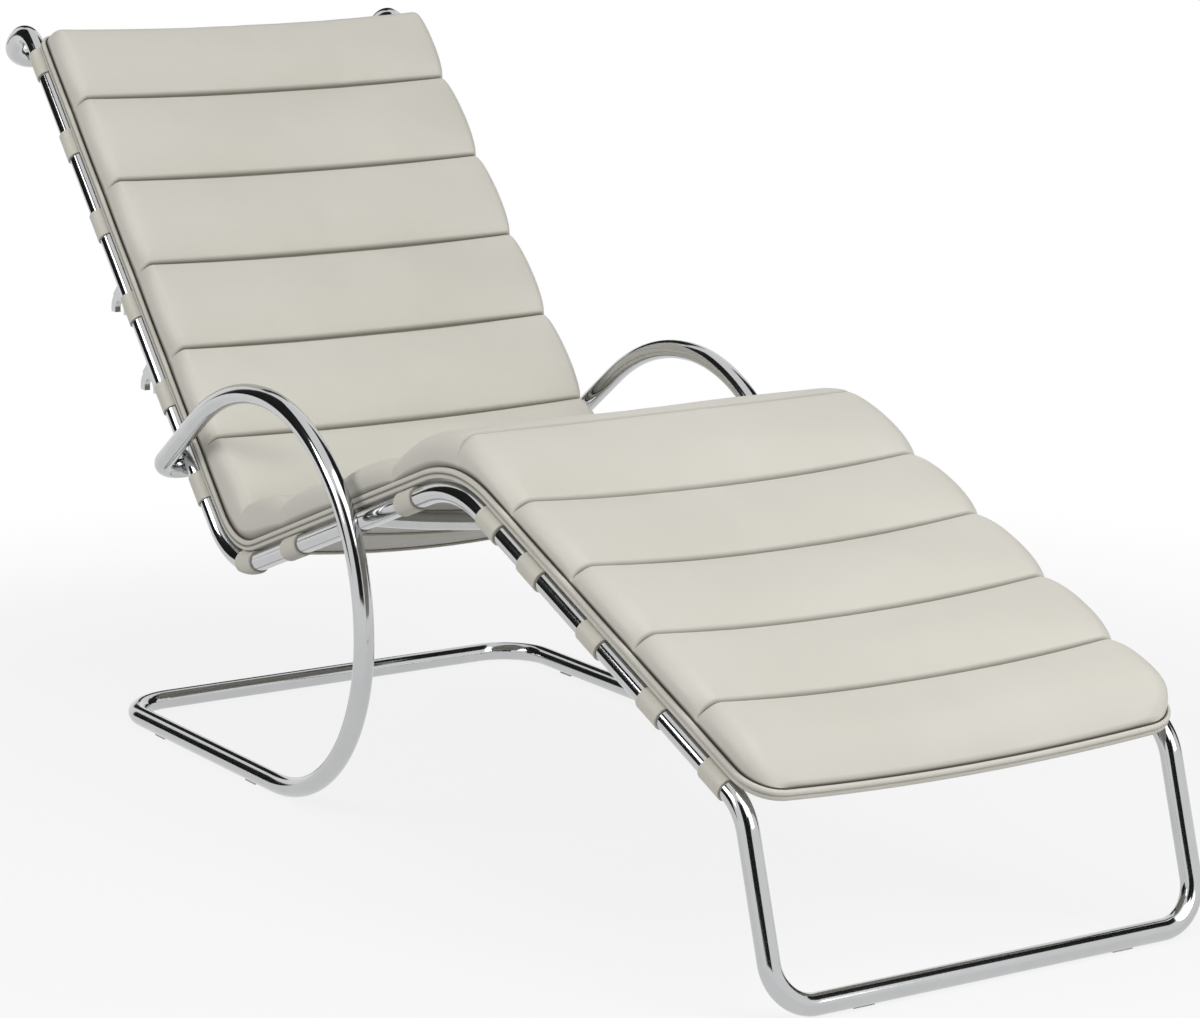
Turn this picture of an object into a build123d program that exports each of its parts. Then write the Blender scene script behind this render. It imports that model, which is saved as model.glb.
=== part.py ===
from build123d import *
import math
import os

# Reclining lounge chair: a bent tube lounge frame hangs by hooks on a separate bent tube base.
# Millimetres and degrees. +X is the way the sitter's feet point, +Y the sitter's left, +Z up, floor at Z 0.

# Tube stock and joints
tube_d = 25.4
tube_wall = 2.0
spigot_length = 80.0
spigot_clear = 0.1
glide_drop = 1.0
glide_length = 26.0
glide_width = 10.0
weld_gap = 0.2

# Lounge frame in side view: lengths between the corners of its line, slopes from level
foot_leg_length = 218.0
foot_lean = 16.5
leg_length = 646.0
leg_slope = 22.5
seat_length = 612.0
seat_slope = 20.5
back_length = 856.0
back_slope = 47.8
lounge_half_width = 290.0
foot_corner_radius = 52.0
foot_bend_radius = 60.0
knee_radius = 180.0
seat_corner_radius = 105.0
head_curl_radius = 50.0
head_curl_turn = 90.0
bar_bend_radius = 38.0
bend_straight = 2.0

# Spreader that holds the seat rails apart
spreader_d = 22.2
spreader_wall = 2.0
spreader_bow = 28.0
spreader_share = 0.637

# Base frame
base_side_gap = 5.1
floor_corner_radius = 72.0
runner_length = 455.0
c_lower_radius = 240.0
c_upper_radius = 255.0
arm_scroll_radius = 312.0
arm_slope = 35.0
arm_length = 159.0
glide_inset = 60.0

# Hooks on the back rails: the base's cross tube hangs in one of them
hook_count = 3
hook_pitch = 128.0
hook_reach = 52.0
hook_clear = 0.4
hook_wall = 12.0
hook_plate = 8.0
hook_inset = 8.0
hook_lip = 4.0
hook_neck_low = 8.0
hook_neck_width = 20.0

# Leather straps across the rails: the back's are set out from the one under the last hook,
# the seat's from the corner and the leg's from the knee
strap_width = 40.0
strap_thick = 2.2
strap_fit = 0.2
strap_tail = 62.0
strap_sag_back = 10.0
strap_sag_seat = 24.0
strap_sag_leg = 10.0
strap_below_hook = 21.0
back_strap_steps = [-287.0, -143.0, 0.0, 137.0, 272.0, 411.0]
seat_strap_shares = [0.3, 0.567, 0.812]
leg_straps = [92.0, 190.0, 328.0, 462.0, 594.0]
rivet_d = 9.0
rivet_head = 2.0

# Roll and pleat cushion: pleats along each run, heights above the rail's axis
cushion_overhang = 6.0
cushion_gap = 0.8
border_height = 30.0
cushion_end_round = 9.0
back_pleats = [167.0, 309.0, 446.0, 584.0, 723.0]
back_cushion_end = 858.0
back_pleat_height = 59.0
back_crown_height = 72.0
seat_rolls = 4
seat_pleat_height = 48.0
seat_crown_height = 66.0
leg_pleats = [118.0, 256.0, 396.0, 530.0]
leg_cushion_end = 664.0
leg_pleat_height = 49.0
leg_crown_height = 62.0
knee_pleat_height = 66.0
fold_height = 66.0
edge_crown = 2.0
edge_depth = 30.0
edge_turns = [0.0, 30.0, 60.0, 90.0]
inner_shares = [0.78, 0.6, 0.4, 0.2]

# Straight down, as an angle in a section across the chair
straight_down = 270.0

tube_r = tube_d / 2
axis_z = tube_r + glide_drop
strap_inner = tube_r + strap_fit
strap_outer = strap_inner + strap_thick
base_half_width = lounge_half_width + tube_d + base_side_gap
cushion_half_width = lounge_half_width + cushion_overhang
seat_pleats = [seat_length * number / seat_rolls for number in range(1, seat_rolls)]


def unit(angle):
    """Side view direction at an angle from +X towards +Z."""
    return Vector(math.cos(math.radians(angle)), 0, math.sin(math.radians(angle)))


# Corners of the lounge line in side view, from the foot bar to the head bar
foot = Vector(0, 0, axis_z)
foot_bend = foot + unit(90 + foot_lean) * foot_leg_length
knee = foot_bend + unit(180 - leg_slope) * leg_length
seat_corner = knee + unit(180 + seat_slope) * seat_length
back_up = unit(180 - back_slope)
back_front = unit(90 - back_slope)
seat_fore = unit(seat_slope)
seat_top = unit(90 + seat_slope)
leg_fore = unit(-leg_slope)
leg_top = unit(90 - leg_slope)
curl_tangent = head_curl_radius * math.tan(math.radians(head_curl_turn / 2))
head_curl = seat_corner + back_up * (back_length + curl_tangent)
head_reach = curl_tangent + bend_straight + bar_bend_radius
head_bar = head_curl + unit(180 - back_slope + head_curl_turn) * head_reach

# Corners of the base line in side view: the cross tube hangs in the lowest hook
arm_top_z = axis_z + c_lower_radius + bend_straight + c_upper_radius
scroll_tangent = arm_scroll_radius * math.tan(math.radians(arm_slope / 2))
cross_z = arm_top_z - (scroll_tangent + arm_length) * math.sin(math.radians(arm_slope))
slope_sin = math.sin(math.radians(back_slope))
slope_cos = math.cos(math.radians(back_slope))
hook_along_back = (cross_z - seat_corner.Z + hook_reach * slope_cos) / slope_sin
cross_tube = seat_corner + back_up * hook_along_back - back_front * hook_reach
arm_corner_x = cross_tube.X + (scroll_tangent + arm_length) * math.cos(math.radians(arm_slope))
c_front_x = arm_corner_x + scroll_tangent + bend_straight + c_upper_radius
rear_bar_x = c_front_x - c_lower_radius - runner_length


def bent_tube(points, radii, diameter, wall):
    """A hollow tube along straight runs joined by tangent bends."""
    path = FilletPolyline(*points, radius=radii)
    start = Plane(path @ 0, z_dir=path % 0)
    outside = sweep(start * Circle(diameter / 2), path=path)
    bore = sweep(start * Circle(diameter / 2 - wall), path=path)
    return outside - bore


def at(point, y):
    """A side view point carried to a distance across the chair."""
    return Vector(point.X, y, point.Z)


def lounge_side():
    """The sitter's right half of the lounge frame, from mid foot bar to mid head bar."""
    side = -lounge_half_width
    line = [foot, foot_bend, knee, seat_corner, head_curl, head_bar]
    points = [foot] + [at(p, side) for p in line] + [head_bar]
    radii = [foot_corner_radius, foot_bend_radius, knee_radius]
    radii += [seat_corner_radius, head_curl_radius, bar_bend_radius]
    return bent_tube(points, radii, tube_d, tube_wall)


def base_side():
    """The sitter's right half of the base, from mid floor bar round the arm to mid cross tube."""
    side = -base_half_width
    line = [Vector(rear_bar_x, 0, axis_z), Vector(c_front_x, 0, axis_z), Vector(c_front_x, 0, arm_top_z)]
    line += [Vector(arm_corner_x, 0, arm_top_z), cross_tube]
    points = [line[0]] + [at(p, side) for p in line] + [cross_tube]
    radii = [floor_corner_radius, c_lower_radius, c_upper_radius, arm_scroll_radius, bar_bend_radius]
    return bent_tube(points, radii, tube_d, tube_wall)


def spigot(point):
    """A plug inside two butted tube ends, with its rims broken."""
    radius = tube_r - tube_wall - spigot_clear
    plug = Plane(point, x_dir=(1, 0, 0), z_dir=(0, 1, 0)) * Cylinder(radius, spigot_length)
    return chamfer(plug.edges().filter_by(GeomType.CIRCLE), tube_wall / 2)


def rail_rod(point, direction, radius, length):
    """A plain rod about a straight stretch of rail, used to cope what is welded to it."""
    return Plane(point, z_dir=direction) * Cylinder(radius, length)


def spreader():
    """A bowed tube between the seat rails, coped to them."""
    middle = seat_corner + seat_fore * (seat_length * spreader_share)
    ends = [at(middle, side * lounge_half_width) for side in (-1, 1)]
    path = ThreePointArc(ends[0], middle - seat_top * spreader_bow, ends[1])
    start = Plane(path @ 0, z_dir=path % 0)
    outside = sweep(start * Circle(spreader_d / 2), path=path)
    bore = sweep(start * Circle(spreader_d / 2 - spreader_wall), path=path)
    tube = outside - bore
    for end in ends:
        tube -= rail_rod(end, seat_fore, tube_r + weld_gap, spreader_d * 3)
    return tube.solids().sort_by(SortBy.VOLUME)[-1]


def hook(index):
    """A plate hook on the back rail, open downwards, that takes the base's cross tube."""
    rail_point = seat_corner + back_up * (hook_along_back + index * hook_pitch)
    seat_point = rail_point - back_front * hook_reach
    inner = tube_r + hook_clear
    outer = inner + hook_wall
    side_view = Plane(seat_point, x_dir=back_up, z_dir=(0, -1, 0))
    to_rail = side_view.to_local_coords(rail_point)
    down = side_view.to_local_coords(seat_point - Vector(0, 0, 1))
    neck_length = hook_reach - weld_gap
    rail_sign = math.copysign(1, to_rail.Y)
    neck_centre = (hook_neck_low + hook_neck_width / 2, rail_sign * neck_length / 2)
    ring = Circle(outer) + Pos(*neck_centre) * Rectangle(hook_neck_width, neck_length)
    mouth_angle = math.degrees(math.atan2(down.Y, down.X))
    mouth = Rot(0, 0, mouth_angle) * Pos(hook_lip + outer, 0) * Rectangle(outer * 2, outer * 3)
    profile = ring - Circle(inner) - mouth
    plate = Pos(0, hook_inset, 0) * extrude(side_view * profile, hook_plate / 2, both=True)
    plate = plate - rail_rod(rail_point, back_up, tube_r + weld_gap, hook_pitch)
    return Pos(0, -lounge_half_width, 0) * plate.solids().sort_by(SortBy.VOLUME)[-1]


def arc_band(centre_y, inner, outer, low, high):
    """The face between two arcs about a point on the section's middle line."""
    under = CenterArc((0, centre_y), outer, low, high - low)
    over = CenterArc((0, centre_y), inner, low, high - low)
    edges = [under, Line(under @ 1, over @ 1), over, Line(over @ 0, under @ 0)]
    return make_face(edges)


def strap_section(sag):
    """A strap seen along the rails: a sagging band, a loop round each rail, and a folded tail."""
    bend = (lounge_half_width**2 + sag**2) / (2 * sag)
    centre = strap_outer - sag + bend
    spread = math.degrees(math.asin(lounge_half_width / bend))
    tail = math.degrees(math.asin((lounge_half_width - strap_tail) / bend))
    root = math.degrees(math.asin((lounge_half_width - tube_r) / bend))
    face = arc_band(centre, bend, bend + strap_thick, straight_down - spread, straight_down + spread)
    for side in (-1, 1):
        low, high = sorted((straight_down + side * tail, straight_down + side * root))
        face += arc_band(centre, bend + strap_thick, bend + 2 * strap_thick, low, high)
        face += Pos(side * lounge_half_width, 0) * Circle(strap_outer)
    for side in (-1, 1):
        face -= Pos(side * lounge_half_width, 0) * Circle(strap_inner)
    return face


def strap_plane(point, fore, top):
    """The plane across the chair at a rail point, with its own y away from the floor side."""
    return Plane(point, x_dir=fore.cross(top), z_dir=fore.cross(top).cross(top))


def straight_strap(point, fore, top, sag):
    """A strap on a straight stretch of rail."""
    return extrude(strap_plane(point, fore, top) * strap_section(sag), strap_width / 2, both=True)


def corner_strap():
    """The strap on the bend between seat and back, turned about that bend's centre."""
    tangent = seat_corner_radius * math.tan(math.radians((back_slope + seat_slope) / 2))
    start = seat_corner + seat_fore * tangent
    centre = start + seat_top * seat_corner_radius
    turn = math.degrees(strap_width / seat_corner_radius)
    face = strap_plane(start, seat_fore, seat_top) * strap_section(strap_sag_seat)
    return revolve(face, Axis(centre, (0, 1, 0)), revolution_arc=turn)


def strap_rivets(point, fore, top, sag):
    """The two rivet heads under a strap, where its tails are fixed."""
    bend = (lounge_half_width**2 + sag**2) / (2 * sag)
    across = lounge_half_width - strap_tail + rivet_d
    lean = math.degrees(math.asin(across / bend))
    depth = bend + 2 * strap_thick + weld_gap + rivet_head / 2
    centre = strap_outer - sag + bend
    heads = []
    for side in (-1, 1):
        place = Pos(0, centre) * Rot(0, 0, side * lean) * Pos(0, -depth) * Rot(90, 0, 0)
        head = strap_plane(point, fore, top) * place * Cylinder(rivet_d / 2, rivet_head)
        heads.append(head)
    return heads


def side_blend(y):
    """Full section inside, rounded down to the cushion's edge: 0 at the edge and 1 well inside."""
    share = min(1.0, (cushion_half_width - abs(y)) / edge_depth)
    return math.sqrt(1 - (1 - share) ** 2)


def underside(y, sag):
    """Height of the cushion's underside above the rail's axis, which follows the straps' sag."""
    inside = max(0.0, 1 - (y / lounge_half_width) ** 2)
    return strap_outer + cushion_gap - sag * inside


def rolls(points, normals, crowns):
    """Arcs from pleat to pleat, each bulging along its own outward direction."""
    arcs = []
    for first, last, normal, crown in zip(points, points[1:], normals, crowns):
        arcs.append(ThreePointArc(first, (first + last) / 2 + normal * crown, last))
    return arcs


def bend_frame(corner, before, after, radius):
    """Centre of a rail bend, and the direction from it to the bend's middle."""
    middle = (before + after).normalized()
    half = math.radians(before.get_angle(after)) / 2
    away = radius / math.sin(half)
    centre = corner + middle * away
    return centre, middle * -1


corner_centre, corner_out = bend_frame(seat_corner, back_up, seat_fore, seat_corner_radius)
knee_centre, knee_out = bend_frame(knee, seat_fore * -1, leg_fore, knee_radius)
corner_tangent = seat_corner_radius * math.tan(math.radians((back_slope + seat_slope) / 2))
knee_tangent = knee_radius * math.tan(math.radians((seat_slope + leg_slope) / 2))


def heights(y, pleat, crown):
    """Pleat height and roll bulge at a distance across the chair."""
    share = side_blend(y)
    low = border_height + (pleat - border_height) * share
    bulge = edge_crown + (crown - pleat - edge_crown) * share
    return low, bulge


def bend_point(centre, out, radius, shift):
    """A point on the middle of a bend, moved sideways clear of the neighbouring section."""
    return centre + out * radius + shift


def cushion_end(run, along, top, fore, low, high):
    """The rounded end of a cushion section, from underside to top."""
    foot_point = run + fore * (along - cushion_end_round) + top * low
    nose = run + fore * along + top * ((low + high) / 2)
    head_point = run + fore * (along - cushion_end_round) + top * high
    return ThreePointArc(foot_point, nose, head_point)


def back_section(y):
    """Outline of the back cushion at a distance across the chair."""
    low = underside(y, strap_sag_back)
    high, bulge = heights(y, back_pleat_height, back_crown_height)
    fold_high = heights(y, fold_height, back_crown_height)[0]
    apart = back_up * cushion_gap
    under = bend_point(corner_centre, corner_out, seat_corner_radius - low, apart)
    over = bend_point(corner_centre, corner_out, seat_corner_radius - fold_high, apart)
    start = seat_corner + back_up * corner_tangent + back_front * low
    end = cushion_end(seat_corner, back_cushion_end, back_front, back_up, low, high)
    tops = [end @ 1] + [seat_corner + back_up * s + back_front * high for s in reversed(back_pleats)]
    tops.append(over)
    normals = [back_front] * (len(tops) - 1)
    bulges = [bulge] * (len(tops) - 2) + [edge_crown]
    edges = [bend_arc(under, start, corner_centre), Line(start, end @ 0), end]
    edges += rolls(tops, normals, bulges) + [Line(over, under)]
    return section_wire(edges, y)


def bend_arc(first, last, centre):
    """An arc about a rail bend's centre between two points, by its middle point."""
    radius = ((first - centre).length + (last - centre).length) / 2
    middle = centre + ((first - centre) + (last - centre)).normalized() * radius
    return ThreePointArc(first, middle, last)


def section_wire(edges, y):
    """A closed outline moved to its distance across the chair."""
    return Wire([Pos(0, y, 0) * edge for edge in edges])


def seat_section(y):
    """Outline of the seat cushion at a distance across the chair."""
    low = underside(y, strap_sag_seat)
    high, bulge = heights(y, seat_pleat_height, seat_crown_height)
    corner_high = heights(y, fold_height, back_crown_height)[0]
    knee_high = heights(y, knee_pleat_height, leg_crown_height)[0]
    rear_apart = seat_fore * cushion_gap
    fore_apart = seat_fore * -cushion_gap
    rear_under = bend_point(corner_centre, corner_out, seat_corner_radius - low, rear_apart)
    rear_over = bend_point(corner_centre, corner_out, seat_corner_radius - corner_high, rear_apart)
    fore_under = bend_point(knee_centre, knee_out, knee_radius + low, fore_apart)
    fore_over = bend_point(knee_centre, knee_out, knee_radius + knee_high, fore_apart)
    start = seat_corner + seat_fore * corner_tangent + seat_top * low
    stop = knee - seat_fore * knee_tangent + seat_top * low
    tops = [fore_over] + [seat_corner + seat_fore * s + seat_top * high for s in reversed(seat_pleats)]
    tops.append(rear_over)
    bulges = [bulge] * (len(tops) - 2) + [edge_crown]
    edges = [bend_arc(rear_under, start, corner_centre), Line(start, stop)]
    edges += [bend_arc(stop, fore_under, knee_centre), Line(fore_under, fore_over)]
    edges += rolls(tops, [seat_top] * (len(tops) - 1), bulges) + [Line(rear_over, rear_under)]
    return section_wire(edges, y)


def leg_section(y):
    """Outline of the leg cushion at a distance across the chair."""
    low = underside(y, strap_sag_leg)
    high, bulge = heights(y, leg_pleat_height, leg_crown_height)
    apart = leg_fore * cushion_gap
    under = bend_point(knee_centre, knee_out, knee_radius + low, apart)
    knee_high = heights(y, knee_pleat_height, leg_crown_height)[0]
    over = bend_point(knee_centre, knee_out, knee_radius + knee_high, apart)
    start = knee + leg_fore * knee_tangent + leg_top * low
    end = cushion_end(knee, leg_cushion_end, leg_top, leg_fore, low, high)
    tops = [end @ 1] + [knee + leg_fore * s + leg_top * high for s in reversed(leg_pleats)]
    tops.append(over)
    bulges = [bulge] * (len(tops) - 1)
    edges = [bend_arc(under, start, knee_centre), Line(start, end @ 0), end]
    edges += rolls(tops, [leg_top] * (len(tops) - 1), bulges) + [Line(over, under)]
    return section_wire(edges, y)


def cushion(section):
    """A cushion lofted across the chair through its outlines."""
    steps = [edge_depth * (1 - math.cos(math.radians(turn))) for turn in edge_turns]
    stations = [step - cushion_half_width for step in steps]
    stations += [-share * cushion_half_width for share in inner_shares]
    stations += [0.0] + [-y for y in reversed(stations)]
    return Solid.make_loft([section(y) for y in stations])


def base_glides():
    """Four flat pads under the base runners, hollowed to the tube."""
    pads = []
    fronts = [rear_bar_x + floor_corner_radius + glide_inset, c_front_x - c_lower_radius - glide_inset]
    for x in fronts:
        for side in (-1, 1):
            middle = Vector(x, side * base_half_width, 0)
            block = Pos(middle.X, middle.Y, glide_drop) * Box(glide_length, glide_width, glide_drop * 2)
            pads.append(block - rail_rod(at(Vector(x, 0, axis_z), middle.Y), (1, 0, 0), tube_r, tube_d * 2))
    return pads


def foot_glides():
    """Two curved pads under the foot bar, round so that they still meet the floor at another recline."""
    pads = []
    for side in (-1, 1):
        centre = at(foot, side * (lounge_half_width - foot_corner_radius - glide_inset))
        shell = rail_rod(centre, (0, 1, 0), axis_z, glide_length)
        shell -= rail_rod(centre, (0, 1, 0), tube_r, tube_d * 2)
        pads.append(shell & Pos(centre.X, centre.Y, 0) * Box(glide_width, glide_length, tube_r))
    return pads


def other_side(shape):
    """The sitter's left copy of a piece made for the right."""
    return mirror(shape, about=Plane.XZ)


def strap_places():
    """Each straight strap's name, place on the rails, directions and sag."""
    places = []
    last_hook = hook_along_back + (hook_count - 1) * hook_pitch + hook_neck_low
    under_hook = last_hook - strap_below_hook - strap_width / 2
    for number, step in enumerate(back_strap_steps, 1):
        point = seat_corner + back_up * (under_hook + step)
        places.append((f"back_strap_{number}", point, back_up * -1, back_front, strap_sag_back))
    for number, share in enumerate(seat_strap_shares, 2):
        point = seat_corner + seat_fore * (seat_length * share)
        places.append((f"seat_strap_{number}", point, seat_fore, seat_top, strap_sag_seat))
    for number, along in enumerate(leg_straps, 1):
        point = knee + leg_fore * along
        places.append((f"leg_strap_{number}", point, leg_fore, leg_top, strap_sag_leg))
    return places


def build():
    """Every piece by its node name, as a list of solids."""
    nodes = {}
    right_rail = lounge_side()
    nodes["lounge_frame_right"] = [right_rail]
    nodes["lounge_frame_left"] = [other_side(right_rail)]
    right_base = base_side()
    nodes["base_frame_right"] = [right_base]
    nodes["base_frame_left"] = [other_side(right_base)]
    nodes["foot_bar_spigot"] = [spigot(foot)]
    nodes["head_bar_spigot"] = [spigot(head_bar)]
    nodes["floor_bar_spigot"] = [spigot(Vector(rear_bar_x, 0, axis_z))]
    nodes["cross_tube_spigot"] = [spigot(cross_tube)]
    nodes["seat_spreader"] = [spreader()]
    for index in range(hook_count):
        right_hook = hook(index)
        nodes[f"recline_hook_right_{index + 1}"] = [right_hook]
        nodes[f"recline_hook_left_{index + 1}"] = [other_side(right_hook)]
    nodes["seat_strap_1"] = [corner_strap()]
    rivets = {"back": [], "seat": [], "leg": []}
    for name, point, fore, top, sag in strap_places():
        nodes[name] = [straight_strap(point, fore, top, sag)]
        rivets[name.split("_")[0]] += strap_rivets(point, fore, top, sag)
    for run, heads in rivets.items():
        nodes[f"{run}_strap_rivets"] = heads
    nodes["back_cushion"] = [cushion(back_section)]
    nodes["seat_cushion"] = [cushion(seat_section)]
    nodes["leg_cushion"] = [cushion(leg_section)]
    nodes["base_glides"] = base_glides()
    nodes["foot_glides"] = foot_glides()
    return nodes


os.makedirs("parts", exist_ok=True)
pieces = build()
boxes = [solid.bounding_box() for solids in pieces.values() for solid in solids]
rear_x = min(box.min.X for box in boxes)
fore_x = max(box.max.X for box in boxes)
middle_x = (rear_x + fore_x) / 2
for node, solids in pieces.items():
    placed = [Pos(-middle_x, 0, 0) * solid for solid in solids]
    shape = placed[0] if len(placed) == 1 else Compound(children=placed)
    export_step(shape, f"parts/{node}.step")
print("pieces", len(pieces), "length", fore_x - rear_x, "shift", -middle_x)
print("foot", foot.X - middle_x, "knee", knee.X - middle_x, knee.Z)
print("corner", seat_corner.X - middle_x, seat_corner.Z)
print("cross tube", cross_tube.X - middle_x, cross_tube.Z, "hook along back", hook_along_back)
print("rear bar", rear_bar_x - middle_x, "front of base", c_front_x - middle_x, "arm top", arm_top_z)
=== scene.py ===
import bpy
import math
from mathutils import Vector, Matrix


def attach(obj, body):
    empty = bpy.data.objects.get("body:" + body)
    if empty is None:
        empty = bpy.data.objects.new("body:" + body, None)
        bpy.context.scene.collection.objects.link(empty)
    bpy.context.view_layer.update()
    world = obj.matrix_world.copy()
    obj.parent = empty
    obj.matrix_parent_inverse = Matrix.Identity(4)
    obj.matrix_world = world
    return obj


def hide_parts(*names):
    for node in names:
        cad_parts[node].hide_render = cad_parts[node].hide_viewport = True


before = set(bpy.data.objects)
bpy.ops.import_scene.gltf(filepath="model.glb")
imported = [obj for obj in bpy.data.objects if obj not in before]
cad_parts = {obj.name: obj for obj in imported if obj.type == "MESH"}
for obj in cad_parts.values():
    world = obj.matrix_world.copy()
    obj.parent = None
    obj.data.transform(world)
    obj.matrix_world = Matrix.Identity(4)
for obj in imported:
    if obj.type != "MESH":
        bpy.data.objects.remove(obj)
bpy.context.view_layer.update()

# Sizes in metres and slopes in degrees, the same values as the solids
TUBE_R = 0.0127
AXIS_Z = 0.0137
FOOT_X = 0.953618
RAIL_Y = 0.290
BASE_Y = 0.3205
# Straight run between two bends that follow each other
STUB = 0.002

# Lounge frame: slopes, lengths between bends and radii of the bends
FOOT_LEAN = 16.5
LEG_SLOPE = 22.5
SEAT_SLOPE = 20.5
BACK_SLOPE = 47.8
FOOT_LENGTH = 0.218
LEG_LENGTH = 0.646
SEAT_LENGTH = 0.612
BACK_LENGTH = 0.856
FOOT_BAR_R = 0.052
FOOT_BEND_R = 0.060
KNEE_R = 0.180
CORNER_R = 0.105
CURL_R = 0.050
HEAD_BAR_R = 0.038
SPREADER_SHARE = 0.637
SPREADER_BOW = 0.028
SPREADER_R = 0.0111
# How far short of the rail's axis the spreader ends, as a share of the rail's radius
SPREADER_SHORT = 0.4

# Base frame: slope of the arm, lengths between bends and radii of the bends
ARM_SLOPE = 35.0
ARM_LENGTH = 0.159
RUNNER_LENGTH = 0.455
HOOK_REACH = 0.052
FLOOR_BAR_R = 0.072
RUNNER_R = 0.240
ARM_R = 0.255
SCROLL_R = 0.312
HAIRPIN_R = 0.038


def side_vector(angle):
    """Side view direction at an angle in degrees from +X towards +Z."""
    return Vector((math.cos(math.radians(angle)), 0, math.sin(math.radians(angle))))


# Corners of both frames in the side view, before their bends
BACK_UP = side_vector(180 - BACK_SLOPE)
BACK_FRONT = side_vector(90 - BACK_SLOPE)
SEAT_FORE = side_vector(SEAT_SLOPE)
SEAT_TOP = side_vector(90 + SEAT_SLOPE)
LEG_FORE = side_vector(-LEG_SLOPE)
LEG_TOP = side_vector(90 - LEG_SLOPE)
FOOT = Vector((FOOT_X, 0, AXIS_Z))
FOOT_BEND = FOOT + side_vector(90 + FOOT_LEAN) * FOOT_LENGTH
KNEE = FOOT_BEND + side_vector(180 - LEG_SLOPE) * LEG_LENGTH
CORNER = KNEE + side_vector(180 + SEAT_SLOPE) * SEAT_LENGTH
CURL = CORNER + BACK_UP * (BACK_LENGTH + CURL_R)
HEAD = CURL + side_vector(180 - BACK_SLOPE + 90) * (CURL_R + STUB + HEAD_BAR_R)
ARM_TOP_Z = AXIS_Z + RUNNER_R + STUB + ARM_R
SCROLL = SCROLL_R * math.tan(math.radians(ARM_SLOPE / 2))
ARM_DROP = SCROLL + ARM_LENGTH
CROSS_Z = ARM_TOP_Z - ARM_DROP * math.sin(math.radians(ARM_SLOPE))
HOOK_RISE = CROSS_Z - CORNER.z + HOOK_REACH * math.cos(math.radians(BACK_SLOPE))
HOOK_ALONG = HOOK_RISE / math.sin(math.radians(BACK_SLOPE))
CROSS = CORNER + BACK_UP * HOOK_ALONG - BACK_FRONT * HOOK_REACH
ARM_X = CROSS.x + ARM_DROP * math.cos(math.radians(ARM_SLOPE))
FRONT_X = ARM_X + SCROLL + STUB + ARM_R
REAR_X = FRONT_X - RUNNER_R - RUNNER_LENGTH

# Fineness of the tubes: sides of a ring, degrees between the rings of a bend, steps of the spreader
TUBE_SIDES = 40
BEND_STEP = 2.5
SPREADER_STEPS = 40


def new_object(name, mesh, body, material, nodes):
    """A piece in the scene that rides on a body and stands for the solids it replaces."""
    piece = bpy.data.objects.new(name, mesh)
    bpy.context.collection.objects.link(piece)
    mesh.materials.append(material)
    for polygon in mesh.polygons:
        polygon.use_smooth = True
    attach(piece, body)
    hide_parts(*nodes)
    return piece


def bent_path(points, radii):
    """Points along straight runs that are joined by tangent bends."""
    path = [points[0]]
    for before, here, after, radius in zip(points, points[1:], points[2:], radii):
        back = (before - here).normalized()
        ahead = (after - here).normalized()
        half = back.angle(ahead) / 2
        setback = radius / math.tan(half)
        start = here + back * setback
        centre = here + (back + ahead).normalized() * (radius / math.sin(half))
        axis = (start - centre).cross(back * -1).normalized()
        turn = math.pi - 2 * half
        steps = max(4, int(math.degrees(turn) / BEND_STEP))
        for step in range(steps + 1):
            path.append(centre + Matrix.Rotation(turn * step / steps, 3, axis) @ (start - centre))
    path.append(points[-1])
    return path


def tube_mesh(name, path, radius):
    """A closed round tube along a path, its rings carried along without twist."""
    verts = []
    faces = []
    tangents = []
    for index in range(len(path)):
        first = path[max(0, index - 1)]
        last = path[min(len(path) - 1, index + 1)]
        tangents.append((last - first).normalized())
    normal = tangents[0].orthogonal().normalized()
    for index, point in enumerate(path):
        if index:
            normal = (tangents[index - 1].rotation_difference(tangents[index]) @ normal).normalized()
        binormal = tangents[index].cross(normal)
        for side in range(TUBE_SIDES):
            angle = 2 * math.pi * side / TUBE_SIDES
            verts.append(point + (normal * math.cos(angle) + binormal * math.sin(angle)) * radius)
    for ring in range(len(path) - 1):
        for side in range(TUBE_SIDES):
            here = ring * TUBE_SIDES + side
            beside = ring * TUBE_SIDES + (side + 1) % TUBE_SIDES
            faces.append((here, beside, beside + TUBE_SIDES, here + TUBE_SIDES))
    for first in (0, len(path) - 1):
        ring = verts[first * TUBE_SIDES:(first + 1) * TUBE_SIDES]
        cap = list(range(len(verts), len(verts) + TUBE_SIDES))
        verts.extend(ring)
        faces.append(tuple(cap[::-1] if first == 0 else cap))
    mesh = bpy.data.meshes.new(name)
    mesh.from_pydata(verts, [], faces)
    return mesh


def at(point, y):
    """A side view point carried across the chair."""
    return Vector((point.x, y, point.z))


# Materials
def new_material(name):
    """A material with its nodes, its links and its main shader."""
    material = bpy.data.materials.new(name)
    material.use_nodes = True
    nodes = material.node_tree.nodes
    return material, nodes, material.node_tree.links, nodes["Principled BSDF"]


def tone_ramp(nodes, dark, light):
    """A ramp from a dark to a light colour."""
    ramp = nodes.new("ShaderNodeValToRGB")
    ramp.color_ramp.elements[0].color = (*dark, 1)
    ramp.color_ramp.elements[1].color = (*light, 1)
    return ramp


def gloss_range(nodes, low, high):
    """Roughness between two values."""
    gloss = nodes.new("ShaderNodeMapRange")
    gloss.inputs["To Min"].default_value = low
    gloss.inputs["To Max"].default_value = high
    return gloss


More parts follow.
